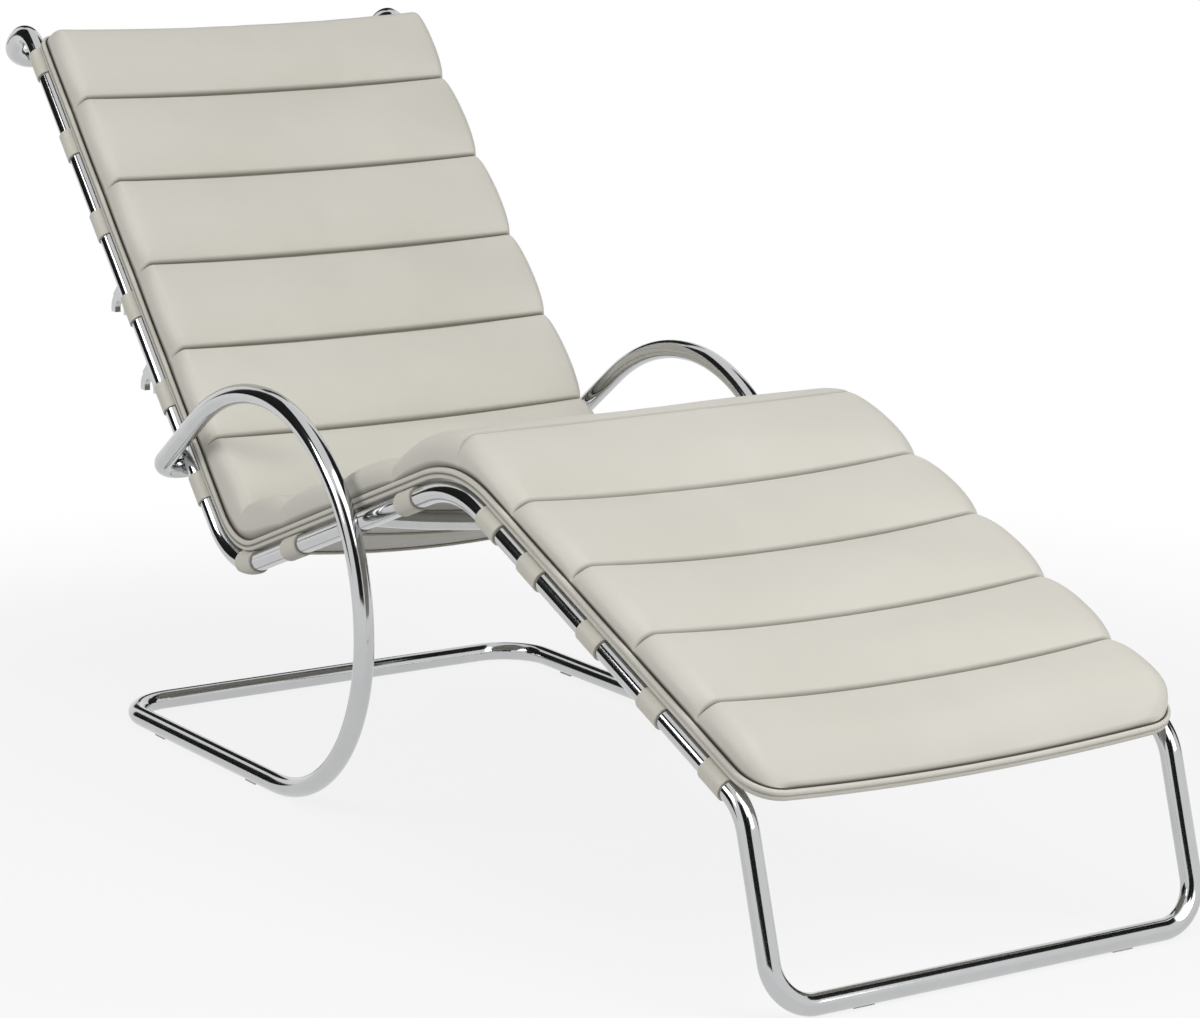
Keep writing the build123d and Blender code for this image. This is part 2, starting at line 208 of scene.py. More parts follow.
def chrome_material():
    """Polished tube: bright metal with faint smears in its roughness."""
    material, nodes, links, shader = new_material("polished_tube")
    shader.inputs["Metallic"].default_value = 1.0
    coords = nodes.new("ShaderNodeTexCoord")
    smear = nodes.new("ShaderNodeTexNoise")
    smear.inputs["Scale"].default_value = 38.0
    smear.inputs["Detail"].default_value = 4.0
    tone = tone_ramp(nodes, (0.50, 0.505, 0.51), (0.56, 0.565, 0.57))
    gloss = gloss_range(nodes, 0.08, 0.12)
    links.new(coords.outputs["Object"], smear.inputs["Vector"])
    links.new(smear.outputs["Fac"], tone.inputs["Fac"])
    links.new(smear.outputs["Fac"], gloss.inputs["Value"])
    links.new(tone.outputs["Color"], shader.inputs["Base Color"])
    links.new(gloss.outputs["Result"], shader.inputs["Roughness"])
    return material


def leather_material(name, light, dark, grain_scale):
    """Pale leather: soft colour drift, painted shade along the sewn lines and the welt's grooves, fine
    pebble grain and a low sheen.
    """
    material, nodes, links, shader = new_material(name)
    shader.inputs["Specular IOR Level"].default_value = 0.42
    shader.inputs["Sheen Weight"].default_value = 0.08
    coords = nodes.new("ShaderNodeTexCoord")
    drift = nodes.new("ShaderNodeTexNoise")
    drift.inputs["Scale"].default_value = 5.0
    drift.inputs["Detail"].default_value = 5.0
    tone = tone_ramp(nodes, dark, light)
    tone.color_ramp.elements[0].position = 0.3
    tone.color_ramp.elements[1].position = 0.7
    # Painted shade: a dark brown mixed into the colour where the cushion's attribute marks its seams and
    # welt grooves, standing in for the shadow in those grooves
    sewn = nodes.new("ShaderNodeAttribute")
    sewn.attribute_name = "seam_painted_shade"
    seam_shaded = nodes.new("ShaderNodeMix")
    seam_shaded.data_type = "RGBA"
    seam_shaded.inputs["B"].default_value = (0.11, 0.10, 0.078, 1)
    grain = nodes.new("ShaderNodeTexVoronoi")
    grain.inputs["Scale"].default_value = grain_scale
    grain.inputs["Randomness"].default_value = 1.0
    creases = nodes.new("ShaderNodeTexNoise")
    creases.inputs["Scale"].default_value = 60.0
    creases.inputs["Detail"].default_value = 6.0
    height = nodes.new("ShaderNodeMath")
    height.operation = "MULTIPLY_ADD"
    height.inputs[1].default_value = 0.6
    bump = nodes.new("ShaderNodeBump")
    bump.inputs["Strength"].default_value = 0.06
    bump.inputs["Distance"].default_value = 0.0006
    gloss = gloss_range(nodes, 0.44, 0.58)
    for texture in (drift, grain, creases):
        links.new(coords.outputs["Object"], texture.inputs["Vector"])
    links.new(drift.outputs["Fac"], tone.inputs["Fac"])
    links.new(tone.outputs["Color"], seam_shaded.inputs["A"])
    links.new(sewn.outputs["Fac"], seam_shaded.inputs["Factor"])
    links.new(seam_shaded.outputs["Result"], shader.inputs["Base Color"])
    links.new(grain.outputs["Distance"], height.inputs[0])
    links.new(creases.outputs["Fac"], height.inputs[2])
    links.new(height.outputs["Value"], bump.inputs["Height"])
    links.new(bump.outputs["Normal"], shader.inputs["Normal"])
    links.new(creases.outputs["Fac"], gloss.inputs["Value"])
    links.new(gloss.outputs["Result"], shader.inputs["Roughness"])
    return material


def plain_material(name, light, dark, metallic, rough):
    """A small part's finish with a fine mottle in colour and gloss."""
    material, nodes, links, shader = new_material(name)
    shader.inputs["Metallic"].default_value = metallic
    coords = nodes.new("ShaderNodeTexCoord")
    mottle = nodes.new("ShaderNodeTexNoise")
    mottle.inputs["Scale"].default_value = 220.0
    tone = tone_ramp(nodes, dark, light)
    gloss = gloss_range(nodes, rough * 0.85, rough * 1.15)
    links.new(coords.outputs["Object"], mottle.inputs["Vector"])
    links.new(mottle.outputs["Fac"], tone.inputs["Fac"])
    links.new(mottle.outputs["Fac"], gloss.inputs["Value"])
    links.new(tone.outputs["Color"], shader.inputs["Base Color"])
    links.new(gloss.outputs["Result"], shader.inputs["Roughness"])
    return material


CHROME = chrome_material()
LEATHER = leather_material("cushion_leather", (0.662, 0.640, 0.572), (0.622, 0.600, 0.532), 900.0)
STRAP = leather_material("strap_leather", (0.640, 0.618, 0.540), (0.600, 0.578, 0.500), 1100.0)
RIVET = plain_material("rivet_metal", (0.80, 0.80, 0.80), (0.68, 0.68, 0.68), 1.0, 0.2)
STEEL = plain_material("joint_steel", (0.55, 0.55, 0.56), (0.45, 0.45, 0.46), 1.0, 0.35)
GLIDE = plain_material("glide_plastic", (0.55, 0.55, 0.53), (0.48, 0.48, 0.46), 0.0, 0.5)
# Soft edges of the straps: their width, and the least angle in degrees of an edge that gets one
STRAP_EDGE = 0.0007
STRAP_EDGE_ANGLE = 60


# Frames
def frame_half(name, line, radii, side, y, body, node):
    """One half of a frame: from the middle plane out to its side, along its line and back to the middle."""
    points = [line[0]] + [at(point, side * y) for point in line] + [line[-1]]
    mesh = tube_mesh(name, bent_path(points, radii), TUBE_R)
    new_object(name, mesh, body, CHROME, [node])


def build_frames():
    """The bent tubes of the lounge and of the base."""
    lounge_line = [FOOT, FOOT_BEND, KNEE, CORNER, CURL, HEAD]
    lounge_radii = [FOOT_BAR_R, FOOT_BEND_R, KNEE_R, CORNER_R, CURL_R, HEAD_BAR_R]
    base_line = [Vector((REAR_X, 0, AXIS_Z)), Vector((FRONT_X, 0, AXIS_Z))]
    base_line += [Vector((FRONT_X, 0, ARM_TOP_Z)), Vector((ARM_X, 0, ARM_TOP_Z)), CROSS]
    base_radii = [FLOOR_BAR_R, RUNNER_R, ARM_R, SCROLL_R, HAIRPIN_R]
    for side, word in ((-1, "right"), (1, "left")):
        lounge_node = f"lounge_frame_{word}"
        base_node = f"base_frame_{word}"
        frame_half(f"lounge_tube_{word}", lounge_line, lounge_radii, side, RAIL_Y, "lounge", lounge_node)
        frame_half(f"base_tube_{word}", base_line, base_radii, side, BASE_Y, "base", base_node)


def build_spreader():
    """The bowed tube between the seat rails, its ends sunk into them."""
    middle = CORNER + SEAT_FORE * (SEAT_LENGTH * SPREADER_SHARE)
    radius = (RAIL_Y**2 + SPREADER_BOW**2) / (2 * SPREADER_BOW)
    spread = math.asin((RAIL_Y - TUBE_R * SPREADER_SHORT) / radius)
    path = []
    for step in range(SPREADER_STEPS + 1):
        angle = spread * (step / (SPREADER_STEPS / 2) - 1)
        drop = radius * math.cos(angle) - (radius - SPREADER_BOW)
        path.append(at(middle, radius * math.sin(angle)) - SEAT_TOP * drop)
    mesh = tube_mesh("spreader_tube", path, SPREADER_R)
    new_object("spreader_tube", mesh, "lounge", CHROME, ["seat_spreader"])


# Cushion: its ends from the corner and the knee, and places along the rails from its head end
BACK_END = 0.858
LEG_END = 0.664
CORNER_TURN = math.radians(BACK_SLOPE + SEAT_SLOPE)
KNEE_TURN = math.radians(SEAT_SLOPE + LEG_SLOPE)
CORNER_TANGENT = CORNER_R * math.tan(CORNER_TURN / 2)
KNEE_TANGENT = KNEE_R * math.tan(KNEE_TURN / 2)
T_CORNER = BACK_END - CORNER_TANGENT
T_SEAT = T_CORNER + CORNER_R * CORNER_TURN
T_KNEE = T_SEAT + SEAT_LENGTH - CORNER_TANGENT - KNEE_TANGENT
T_LEG = T_KNEE + KNEE_R * KNEE_TURN
T_END = T_LEG + LEG_END - KNEE_TANGENT
T_FOLD = (T_CORNER + T_SEAT) / 2
T_CREST = (T_KNEE + T_LEG) / 2
WELT = 0.007
T_FIRST = WELT
T_LAST = T_END - WELT
# Sewn lines: distance from the corner or the knee, height above the rail's axis, sharpness
BACK_LINES = [(0.723, 0.059, 1.0), (0.584, 0.059, 1.0), (0.446, 0.059, 1.0)]
BACK_LINES += [(0.309, 0.059, 1.0), (0.167, 0.059, 1.0)]
SEAT_LINES = [(0.153, 0.059, 0.25), (0.306, 0.057, 0.3), (0.459, 0.053, 0.6)]
LEG_LINES = [(0.118, 0.047, 1.0), (0.256, 0.049, 1.0), (0.396, 0.051, 1.0), (0.530, 0.053, 1.0)]
# The same lines, with both ends, the fold and the crest, by their place from the head end
SEAMS = [(T_FIRST, 0.060, 1.0)]
SEAMS += [(BACK_END - along, height, sharp) for along, height, sharp in BACK_LINES]
SEAMS += [(T_FOLD, 0.068, 0.3)]
SEAMS += [(T_SEAT + along - CORNER_TANGENT, height, sharp) for along, height, sharp in SEAT_LINES]
KNEE_ROLL = len(SEAMS) - 1
SEAMS += [(T_CREST, 0.067, 0.5)]
SEAMS += [(T_LEG + along - KNEE_TANGENT, height, sharp) for along, height, sharp in LEG_LINES]
SEAMS += [(T_LAST, 0.054, 1.0)]
# Plan of the sewn outline, and heights above the rail's axis
BODY_HALF = 0.289
HEAD_CORNER = 0.010
FOOT_CORNER = 0.038
LINE_HEIGHT = 0.0295
UNDER_HEIGHT = 0.0159
# Shape of the rolls
ROLL_RISE = 0.0050
SEAM_RISE = 0.0065
SEAM_REACH = 0.018
LEG_SEAM_RISE = 0.0050
LEG_SEAM_REACH = 0.012
KNEE_RISE = 0.008
GROOVE = 0.0055
SIDE_BULGE = 0.006
END_DIP = 0.014
HEAD_ROUND = 0.022
FOOT_ROUND = 0.050
# Depth of the rounded shoulders: on the back, then at a line and at a crown, and the run between
BACK_SHOULDER = 0.012
LINE_SHOULDER = 0.025
CROWN_SHOULDER = 0.022
SHOULDER_BLEND = 0.25
# Powers of the rounded forms, where 2 is a quarter circle, and of the rolls' fullness towards a line
BACK_LINE_POWER = 1.8
LINE_POWER = 1.5
CROWN_POWER = 2.4
SEAM_POWER = 2.0
HEAD_POWER = 2.2
FOOT_POWER = 1.5
FULLNESS_POWER = 2.5
# Sag of the underside at its middle, the run it changes over, and how far before a bend that starts
BACK_SAG = 0.010
SEAT_SAG = 0.024
LEG_SAG = 0.010
SAG_RUN = 0.12
CORNER_LEAD = 0.03
KNEE_LEAD = 0.05
# Dip of the sewn lines at their middle, and the runs it changes over
BACK_DIP = 0.008
SEAT_DIP = 0.014
CREST_DIP = 0.0
LEG_DIP = 0.016
SEAT_DIP_LEAD = 0.10
SEAT_DIP_RUN = 0.2
CREST_RUN = 0.16
LEG_DIP_RUN = 0.14
# Grid of the upper sheet
ROWS_PER_ROLL = 18
EDGE_COLUMNS = 10
INNER_COLUMNS = 22
COLUMNS = 2 * (EDGE_COLUMNS + INNER_COLUMNS)
WIDTH = COLUMNS + 1
EDGE_DEPTH = 0.026
# Filling: steps of the cloth, columns a move is evened over, shares of even and raw move, longest move
FILL_STEPS = 20
FILL_REACH = 6
FILL_EVEN = 0.8
FILL_RAW = 0.2
FILL_LIMIT = 0.022
# Section of the welt and the base band: how far out, how high, sharpness, strength of the painted shade
# along its line
BAND = [(0.0006, 0.0258, 1.0, 1.0), (0.0016, 0.0292, 0.0, 0.6), (0.0036, 0.0297, 0.0, 0.0)]
BAND += [(0.0058, 0.0282, 0.0, 0.0), (0.0068, 0.0258, 0.0, 0.0), (0.0062, 0.0234, 0.0, 0.3)]
BAND += [(0.0046, 0.0224, 0.9, 1.0), (0.0060, 0.0215, 0.0, 0.5), (0.0066, 0.0195, 0.0, 0.0)]
BAND += [(0.0062, 0.0172, 0.0, 0.0), (0.0050, 0.0160, 0.0, 0.0)]
# Painted shade along the sewn lines: its share beside a line, columns left plain at its ends, columns it
# fades over
SIDE_PAINTED_SHADE = 0.35
PLAIN_COLUMNS = 2
FADE_COLUMNS = 4
# The painted shade of the band's line below the first rings grows fainter on the leg: rings, its share
# there, the run
WELT_RINGS = 3
LEG_PAINTED_SHADE = 0.3
LEG_FADE = 0.2


def rail_frame(t):
    """Point on the rail's axis and the outward direction there, at a distance from the head end."""
    if t <= T_CORNER:
        return CORNER + BACK_UP * (BACK_END - t), BACK_FRONT
    if t < T_SEAT:
        start = CORNER + BACK_UP * CORNER_TANGENT
        centre = start + BACK_FRONT * CORNER_R
        turn = Matrix.Rotation(-(t - T_CORNER) / CORNER_R, 3, "Y")
        return centre + turn @ (start - centre), turn @ BACK_FRONT
    if t <= T_KNEE:
        return CORNER + SEAT_FORE * (CORNER_TANGENT + t - T_SEAT), SEAT_TOP
    if t < T_LEG:
        start = KNEE - SEAT_FORE * KNEE_TANGENT
        centre = start - SEAT_TOP * KNEE_R
        turn = Matrix.Rotation((t - T_KNEE) / KNEE_R, 3, "Y")
        return centre + turn @ (start - centre), turn @ SEAT_TOP
    return KNEE + LEG_FORE * (KNEE_TANGENT + t - T_LEG), LEG_TOP


def lerp(first, last, share):
    """A value between two others, held at both ends."""
    return first + (last - first) * min(1.0, max(0.0, share))


def hollow(y, half):
    """1 at the middle of the width and 0 at its edges."""
    return max(0.0, 1 - (y / half) ** 2)


def sag(t):
    """How far the straps let the cushion's underside down at its middle."""
    down = lerp(BACK_SAG, SEAT_SAG, (t - T_CORNER + CORNER_LEAD) / SAG_RUN)
    return lerp(down, LEG_SAG, (t - T_KNEE + KNEE_LEAD) / SAG_RUN)


def top_sag(t):
    """How far the sewn lines dip at their middle."""
    down = lerp(BACK_DIP, SEAT_DIP, (t - T_CORNER + SEAT_DIP_LEAD) / SEAT_DIP_RUN)
    if t < T_CREST:
        return lerp(down, CREST_DIP, (t - T_CREST + CREST_RUN) / CREST_RUN)
    return lerp(CREST_DIP, LEG_DIP, (t - T_CREST) / LEG_DIP_RUN)


def superround(share, power):
    """A rounded shoulder from 0 to 1."""
    share = min(1.0, max(0.0, share))
    return (1 - (1 - share) ** power) ** (1 / power)


def row_half(t):
    """Half width of the sewn line's plan, rounded at both ends."""
    for near, corner in ((t - T_FIRST, HEAD_CORNER), (T_LAST - t, FOOT_CORNER)):
        if near < corner:
            return BODY_HALF - corner + math.sqrt(max(0.0, corner**2 - (corner - near) ** 2))
    return BODY_HALF


def grid_rows():
    """Each row of the sheet: place, share of its roll, its roll, sharpness if it is a sewn line."""
    rows = []
    for roll, (first, last) in enumerate(zip(SEAMS, SEAMS[1:])):
        for step in range(ROWS_PER_ROLL):
            share = 0.5 - 0.5 * math.cos(math.pi * step / ROWS_PER_ROLL)
            rows.append((lerp(first[0], last[0], share), share, roll, first[2] if step == 0 else 0.0))
    rows.append((SEAMS[-1][0], 1.0, len(SEAMS) - 2, SEAMS[-1][2]))
    return rows


def column_place(column, half):
    """Place across the sheet, closer together over the shoulders."""
    steps = min(column, COLUMNS - column)
    if steps <= EDGE_COLUMNS:
        inset = EDGE_DEPTH * (1 - math.cos(math.pi / 2 * steps / EDGE_COLUMNS))
        y = half - inset
    else:
        y = (half - EDGE_DEPTH) * (1 - (steps - EDGE_COLUMNS) / INNER_COLUMNS)
    return -y if column < COLUMNS / 2 else y


def seam_point(number):
    """Side view point of a sewn line."""
    t, height = SEAMS[number][:2]
    point, out = rail_frame(t)
    return point + out * height


def nearer_sharpness(share, roll):
    """Sharpness of the sewn line that is nearer to a place on a roll."""
    return SEAMS[roll if share < 0.5 else roll + 1][2]


def roll_top(share, roll):
    """Side view point on the crown of a roll, and its outward direction."""
    first = seam_point(roll)
    last = seam_point(roll + 1)
    run = last - first
    normal = Vector((0, 1, 0)).cross(run).normalized()
    if normal.dot(rail_frame(SEAMS[roll][0])[1]) < 0:
        normal.negate()
    near = run.length * min(share, 1 - share)
    rise, reach = (SEAM_RISE, SEAM_REACH) if roll < KNEE_ROLL else (LEG_SEAM_RISE, LEG_SEAM_REACH)
    crown = ROLL_RISE * (1 - (2 * share - 1) ** 2)
    crown += rise * lerp(1.0, superround(near / reach, SEAM_POWER), nearer_sharpness(share, roll))
    if roll == KNEE_ROLL:
        crown += KNEE_RISE * math.sin(math.pi * share)
    return first + run * share + normal * crown, normal


def top_sheet():
    """Cut sheet of the cushion's upper side, with the points that are sewn down."""
    verts = []
    sewn = []
    rows = grid_rows()
    for index, (t, share, roll, sharp) in enumerate(rows):
        point, out = rail_frame(t)
        line = point + out * LINE_HEIGHT
        crown, normal = roll_top(share, roll)
        half = row_half(t)
        end_row = index in (0, len(rows) - 1)
        full = 0.0
        if not end_row:
            full = 1 - nearer_sharpness(share, roll) * abs(2 * share - 1) ** FULLNESS_POWER
        softness = (t - T_CORNER) / SHOULDER_BLEND
        depth = lerp(BACK_SHOULDER, lerp(LINE_SHOULDER, CROWN_SHOULDER, full), softness)
        back_power = lerp(BACK_LINE_POWER, CROWN_POWER, full)
        power = lerp(back_power, lerp(LINE_POWER, CROWN_POWER, full), softness)
        end_rise = superround((t - T_FIRST) / HEAD_ROUND, HEAD_POWER)
        end_rise *= superround((T_LAST - t) / FOOT_ROUND, FOOT_POWER)
        for column in range(WIDTH):
            y = column_place(column, half)
            rise = superround((half - abs(y)) / depth, power) * end_rise
            border = end_row or column in (0, COLUMNS)
            place = line + (crown - line) * rise
            place = place - out * (lerp(END_DIP, top_sag(t), end_rise) * hollow(y, BODY_HALF))
            if sharp and not border:
                place = place - normal * (GROOVE * rise * sharp)
            bulge = SIDE_BULGE * full * 4 * rise * (1 - rise) * end_rise
            verts.append(at(place, y + math.copysign(bulge, y)))
            sewn.append(bool(sharp) or border)
    faces = []
    for row in range(len(rows) - 1):
        for column in range(COLUMNS):
            here = row * WIDTH + column
            faces.append((here, here + WIDTH, here + WIDTH + 1, here + 1))
    return verts, faces, sewn, rows


def fill_sheet(verts, faces, sewn):
    """Blows the sewn sheet up like a stuffed cover and returns its settled points."""
    mesh = bpy.data.meshes.new("cushion_fill")
    mesh.from_pydata(verts, [], faces)
    work = bpy.data.objects.new("cushion_fill", mesh)
    bpy.context.collection.objects.link(work)
    held = work.vertex_groups.new(name="sewn")
    held.add([vertex for vertex, fixed in enumerate(sewn) if fixed], 1.0, "ADD")
    cloth = work.modifiers.new("fill", "CLOTH")
    settings = cloth.settings
    settings.quality = 6
    settings.mass = 0.3
    settings.tension_stiffness = 40.0
    settings.compression_stiffness = 40.0
    settings.shear_stiffness = 20.0
    settings.bending_stiffness = 4.0
    settings.tension_damping = 12.0
    settings.compression_damping = 12.0
    settings.shear_damping = 12.0
    settings.air_damping = 4.0
    settings.vertex_group_mass = "sewn"
    settings.use_pressure = True
    settings.uniform_pressure_force = 2.0
    settings.shrink_min = -0.004
    settings.effector_weights.gravity = 0.0
    cloth.collision_settings.use_collision = False
    cloth.point_cache.frame_start = 1
    cloth.point_cache.frame_end = FILL_STEPS
    for number in range(1, FILL_STEPS + 1):
        bpy.context.scene.frame_set(number)
    graph = bpy.context.evaluated_depsgraph_get()
    settled = work.evaluated_get(graph).to_mesh()
    moves = [after.co - before for before, after in zip(verts, settled.vertices)]
    points = []
    for index, before in enumerate(verts):
        column = index % WIDTH
        reach = min(FILL_REACH, column, COLUMNS - column)
        span = moves[index - reach:index + reach + 1]
        even = sum(span, Vector((0, 0, 0))) / len(span)
        move = moves[index] * FILL_RAW + even * FILL_EVEN
        if move.length > FILL_LIMIT:
            move = move.normalized() * FILL_LIMIT
        points.append(before + move)
    bpy.context.scene.frame_set(1)
    bpy.data.objects.remove(work)
    bpy.data.meshes.remove(mesh)
    return points


def rim_direction(t, y):
    """Outward direction in plan at a point of the sewn outline."""
    out = rail_frame(t)[1]
    tangent = Vector((0, 1, 0)).cross(out)
    corner = FOOT_CORNER
    along = max(0.0, FOOT_CORNER - (T_LAST - t))
    if t < T_END / 2:
        corner = HEAD_CORNER
        along = -max(0.0, HEAD_CORNER - (t - T_FIRST))
    across = max(0.0, abs(y) - (BODY_HALF - corner)) * math.copysign(1, y)
    direction = tangent * along + Vector((0, across, 0))
    return direction.normalized()


def add_band(verts, rows, rim):
    """Adds the rings of the welt and the base band round the sewn outline."""
    rings = []
    for push, height in [part[:2] for part in BAND]:
        ring = []
        for row, column in rim:
            t = rows[row][0]
            point, out = rail_frame(t)
            y = column_place(column, row_half(t))
            dip = END_DIP * hollow(y, BODY_HALF)
            ring.append(len(verts))
            verts.append(at(point + out * (height - dip), y) + rim_direction(t, y) * push)
        rings.append(ring)
    return rings


def add_underside(verts, rows):
    """Adds the points of the underside, which sags with the straps, and lists them by row and column."""
    under = {}
    for row, t in enumerate(entry[0] for entry in rows):
        point, out = rail_frame(t)
        for column in range(WIDTH):
            y = column_place(column, row_half(t))
            under[row, column] = len(verts)
            verts.append(at(point + out * (UNDER_HEIGHT - sag(t) * hollow(y, RAIL_Y)), y))
    return under


def crease_lines(mesh, rows, rings):
    """Keeps the sewn lines and the edges of the band sharp."""
    crease = mesh.attributes.new("crease_edge", "FLOAT", "EDGE")
    ring_sharp = [1.0] + [part[2] for part in BAND]
    ring_of = {}
    for number in range(len(ring_sharp)):
        for vertex in rings[number]:
            ring_of[vertex] = number
    top_count = len(rows) * WIDTH
    for edge in mesh.edges:
        here, there = edge.vertices
        value = 0.0
        if max(here, there) < top_count and here // WIDTH == there // WIDTH:
            value = rows[here // WIDTH][3]
        if here in ring_of and ring_of[here] == ring_of.get(there):
            value = max(value, ring_sharp[ring_of[here]])
        if value:
            crease.data[edge.index].value = value


def paint_seam_shade(mesh, rows, rim, rings):
    """Writes the painted shade that darkens the leather along its sewn lines and along the welt's grooves.
    """
    line = mesh.attributes.new("seam_painted_shade", "FLOAT", "POINT")
    last = len(rows) - 1
    for row in range(len(rows)):
        near = max(rows[max(0, row - 1)][3], rows[min(last, row + 1)][3])
        shade = max(rows[row][3], SIDE_PAINTED_SHADE * near)
        for column in range(PLAIN_COLUMNS + 1, COLUMNS - PLAIN_COLUMNS):
            inset = min(column, COLUMNS - column) - PLAIN_COLUMNS
            line.data[row * WIDTH + column].value = shade * min(1.0, inset / FADE_COLUMNS)
    # Painted shade along the welt's and base band's grooves, ring by ring
    for number, dark in enumerate([1.0] + [part[3] for part in BAND]):
        for place, vertex in zip(rim, rings[number]):
            fade = 1.0
            if number > WELT_RINGS:
                fade = lerp(1.0, LEG_PAINTED_SHADE, (rows[place[0]][0] - T_CREST) / LEG_FADE)
            line.data[vertex].value = dark * fade


def build_cushion():
    """One roll and pleat cushion: filled upper side, welt and base band round it, and its underside."""
    verts, faces, sewn, rows = top_sheet()
    verts = fill_sheet(verts, faces, sewn)
    count = len(rows)
    rim = [(0, column) for column in range(WIDTH)]
    rim += [(row, COLUMNS) for row in range(1, count)]
    rim += [(count - 1, column) for column in range(COLUMNS - 1, -1, -1)]
    rim += [(row, 0) for row in range(count - 2, 0, -1)]
    rings = [[row * WIDTH + column for row, column in rim]]
    rings += add_band(verts, rows, rim)
    under = add_underside(verts, rows)
    rings.append([under[place] for place in rim])
    for upper, lower in zip(rings, rings[1:]):
        for here in range(len(rim)):
            after = (here + 1) % len(rim)
            faces.append((upper[here], upper[after], lower[after], lower[here]))
    for row in range(count - 1):
        for column in range(COLUMNS):
            faces.append((under[row, column], under[row, column + 1],
                          under[row + 1, column + 1], under[row + 1, column]))
    mesh = bpy.data.meshes.new("cushion")
    mesh.from_pydata(verts, [], faces)
    mesh.validate()
    crease_lines(mesh, rows, rings)
    paint_seam_shade(mesh, rows, rim, rings)
    nodes = ["back_cushion", "seat_cushion", "leg_cushion"]
    piece = new_object("cushion", mesh, "lounge", LEATHER, nodes)
    smooth = piece.modifiers.new("smooth", "SUBSURF")
    smooth.levels = 1
    smooth.render_levels = 1


def dress_solids():
    """Finishes for the solids that stay."""
    for name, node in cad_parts.items():
        if "spigot" in name:
            material = STEEL
        elif "glide" in name:
            material = GLIDE
        elif "rivets" in name:
            material = RIVET
        elif "strap" in name:
            material = STRAP
        else:
            material = CHROME
        node.data.materials.clear()
        node.data.materials.append(material)
        if "strap" in name and "rivets" not in name:
            soften = node.modifiers.new("soft_edges", "BEVEL")
            soften.width = STRAP_EDGE
            soften.segments = 2
            soften.limit_method = "ANGLE"
            soften.angle_limit = math.radians(STRAP_EDGE_ANGLE)


# Stage: the floor's half size and height, and the height of the chair's middle
FLOOR_HALF = 14.0
FLOOR_Z = -0.0005
MIDDLE_Z = 0.35
# Lamps: azimuth, elevation, distance, width, height, power
LAMPS = {
    "top": (8, 54, 4.0, 3.0, 3.0, 66.0),
    "front": (16, 24, 4.2, 1.6, 1.2, 38.0),
    "side": (-95, 32, 4.0, 2.0, 1.4, 50.0),
}
# Dark flags: azimuth, elevation, width, height, all at one distance
FLAGS = [(-32, 28, 5.2, 5.8), (-131, 26, 6.8, 7.4), (80, 50, 6.6, 3.6)]
FLAGS += [(98, 14, 4.4, 4.0), (165, 25, 3.0, 3.0)]
FLAG_REACH = 6.0
# Camera, solved from the photograph: lens, turn and tilt in degrees, the point it looks at, distance
SENSOR = 36.0
FOCAL_PIXELS = 3932
PHOTO_PIXELS = 1200
CAMERA_YAW = 57.66
CAMERA_PITCH = 11.78
CAMERA_TARGET = Vector((0.148618, 0, 0.381))
CAMERA_REACH = 4.883


def seen_share(nodes, links):
    """1 where a ray comes from the camera, from metal or through glass."""
    path = nodes.new("ShaderNodeLightPath")
    either = nodes.new("ShaderNodeMath")
    either.operation = "MAXIMUM"
    any_seen = nodes.new("ShaderNodeMath")
    any_seen.operation = "MAXIMUM"
    links.new(path.outputs["Is Camera Ray"], either.inputs[0])
    links.new(path.outputs["Is Glossy Ray"], either.inputs[1])
    links.new(either.outputs["Value"], any_seen.inputs[0])
    links.new(path.outputs["Is Transmission Ray"], any_seen.inputs[1])
    return any_seen.outputs["Value"]


def floor_material():
    """Pale floor: white where it is seen far off, and with the chair's shadow near it."""
    material, nodes, links, shader = new_material("floor")
    shader.inputs["Base Color"].default_value = (0.62, 0.62, 0.62, 1)
    shader.inputs["Roughness"].default_value = 0.9
    shader.inputs["Specular IOR Level"].default_value = 0.0
    white = nodes.new("ShaderNodeEmission")
    white.inputs["Color"].default_value = (1, 1, 1, 1)
    white.inputs["Strength"].default_value = 1.0
    coords = nodes.new("ShaderNodeTexCoord")
    reach = nodes.new("ShaderNodeVectorMath")
    reach.operation = "LENGTH"
    fade = nodes.new("ShaderNodeMapRange")
    fade.interpolation_type = "SMOOTHSTEP"
    fade.inputs["From Min"].default_value = 0.9
    fade.inputs["From Max"].default_value = 2.0
    fade.inputs["To Min"].default_value = 0.84
    fade.inputs["To Max"].default_value = 1.0
    share = nodes.new("ShaderNodeMath")
    share.operation = "MULTIPLY"
    mix = nodes.new("ShaderNodeMixShader")
    links.new(coords.outputs["Object"], reach.inputs[0])
    links.new(reach.outputs["Value"], fade.inputs["Value"])
    links.new(fade.outputs["Result"], share.inputs[0])
    links.new(seen_share(nodes, links), share.inputs[1])
    links.new(share.outputs["Value"], mix.inputs["Fac"])
    links.new(shader.outputs["BSDF"], mix.inputs[1])
    links.new(white.outputs["Emission"], mix.inputs[2])
    links.new(mix.outputs["Shader"], nodes["Material Output"].inputs["Surface"])
    return material


def toward(azimuth, elevation, reach):
    """A place at an azimuth from +X, an elevation and a distance from the chair."""
    turn = math.radians(azimuth)
    tilt = math.radians(elevation)
    flat = reach * math.cos(tilt)
    return Vector((flat * math.cos(turn), flat * math.sin(turn), MIDDLE_Z + reach * math.sin(tilt)))


def aim(thing, place, ahead):
    """Puts a lamp, a flag or the camera at a place, looking ahead."""
    thing.location = place
    thing.rotation_mode = "QUATERNION"
    thing.rotation_quaternion = ahead.to_track_quat("-Z", "Y")
    bpy.context.collection.objects.link(thing)


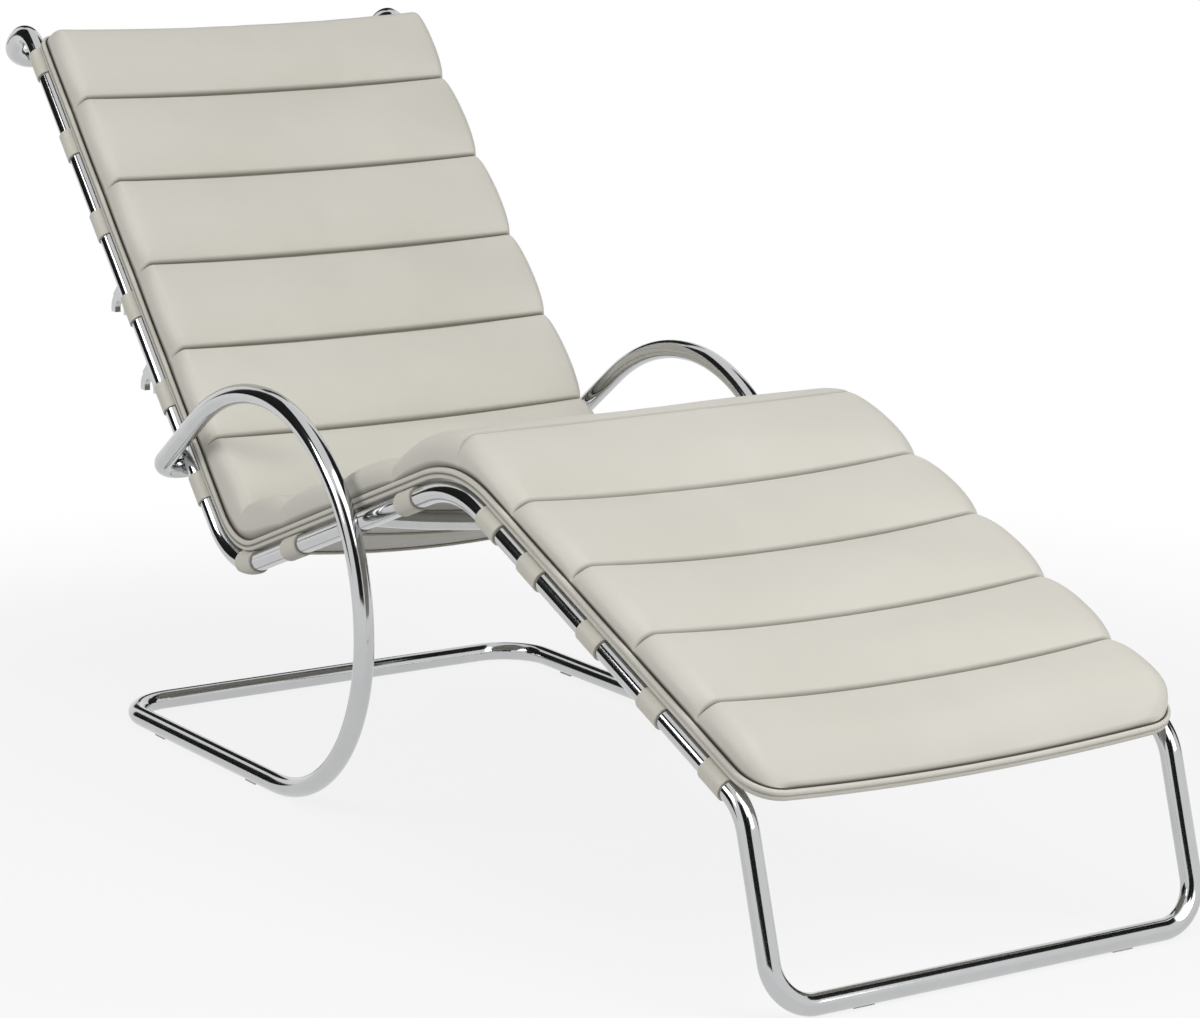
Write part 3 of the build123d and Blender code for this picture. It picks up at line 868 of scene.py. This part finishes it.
def rectangle(name, half_width, half_height, z, material):
    """A flat rectangle about its own middle."""
    corners = [(-half_width, -half_height, z), (half_width, -half_height, z)]
    corners += [(half_width, half_height, z), (-half_width, half_height, z)]
    mesh = bpy.data.meshes.new(name)
    mesh.from_pydata(corners, [], [(0, 1, 2, 3)])
    mesh.materials.append(material)
    return bpy.data.objects.new(name, mesh)


def build_floor():
    """The floor below the chair."""
    floor = rectangle("floor", FLOOR_HALF, FLOOR_HALF, FLOOR_Z, floor_material())
    bpy.context.collection.objects.link(floor)


def build_world():
    """Low even light on the chair, and plain white where the world is seen."""
    world = bpy.data.worlds.new("studio")
    bpy.context.scene.world = world
    world.use_nodes = True
    nodes = world.node_tree.nodes
    links = world.node_tree.links
    light = nodes["Background"]
    light.inputs["Color"].default_value = (0.97, 0.98, 1.0, 1)
    light.inputs["Strength"].default_value = 0.33
    white = nodes.new("ShaderNodeBackground")
    white.inputs["Color"].default_value = (1, 1, 1, 1)
    white.inputs["Strength"].default_value = 1.0
    mix = nodes.new("ShaderNodeMixShader")
    links.new(seen_share(nodes, links), mix.inputs["Fac"])
    links.new(light.outputs["Background"], mix.inputs[1])
    links.new(white.outputs["Background"], mix.inputs[2])
    links.new(mix.outputs["Shader"], nodes["World Output"].inputs["Surface"])


def build_lamps():
    """Soft lamps over, before and beside the chair."""
    middle = Vector((0, 0, MIDDLE_Z))
    for name, (azimuth, elevation, reach, width, height, power) in LAMPS.items():
        data = bpy.data.lights.new(name, "AREA")
        data.shape = "RECTANGLE"
        data.size = width
        data.size_y = height
        data.energy = power
        place = toward(azimuth, elevation, reach)
        aim(bpy.data.objects.new(name, data), place, middle - place)


def build_flags():
    """Dark flags that only the metal shows."""
    middle = Vector((0, 0, MIDDLE_Z))
    dark = new_material("dark_flag")[0]
    shader = dark.node_tree.nodes["Principled BSDF"]
    shader.inputs["Base Color"].default_value = (0.05, 0.05, 0.05, 1)
    shader.inputs["Specular IOR Level"].default_value = 0.0
    for number, (azimuth, elevation, width, height) in enumerate(FLAGS, 1):
        flag = rectangle(f"dark_flag_{number}", width / 2, height / 2, 0, dark)
        place = toward(azimuth, elevation, FLAG_REACH)
        aim(flag, place, middle - place)
        flag.visible_camera = False
        flag.visible_diffuse = False
        flag.visible_shadow = False
        flag.visible_transmission = False


def build_camera():
    """The camera of the photograph."""
    data = bpy.data.cameras.new("camera")
    data.sensor_width = SENSOR
    data.sensor_fit = "HORIZONTAL"
    data.lens = SENSOR * FOCAL_PIXELS / PHOTO_PIXELS
    camera = bpy.data.objects.new("camera", data)
    yaw = math.radians(CAMERA_YAW)
    pitch = math.radians(CAMERA_PITCH)
    flat = math.cos(pitch)
    ahead = Vector((-math.sin(yaw) * flat, math.cos(yaw) * flat, -math.sin(pitch)))
    aim(camera, CAMERA_TARGET - ahead * CAMERA_REACH, ahead)
    bpy.context.scene.camera = camera
    bpy.context.scene.view_settings.view_transform = "Standard"


dress_solids()
build_frames()
build_spreader()
build_cushion()
build_floor()
build_world()
build_lamps()
build_flags()
build_camera()
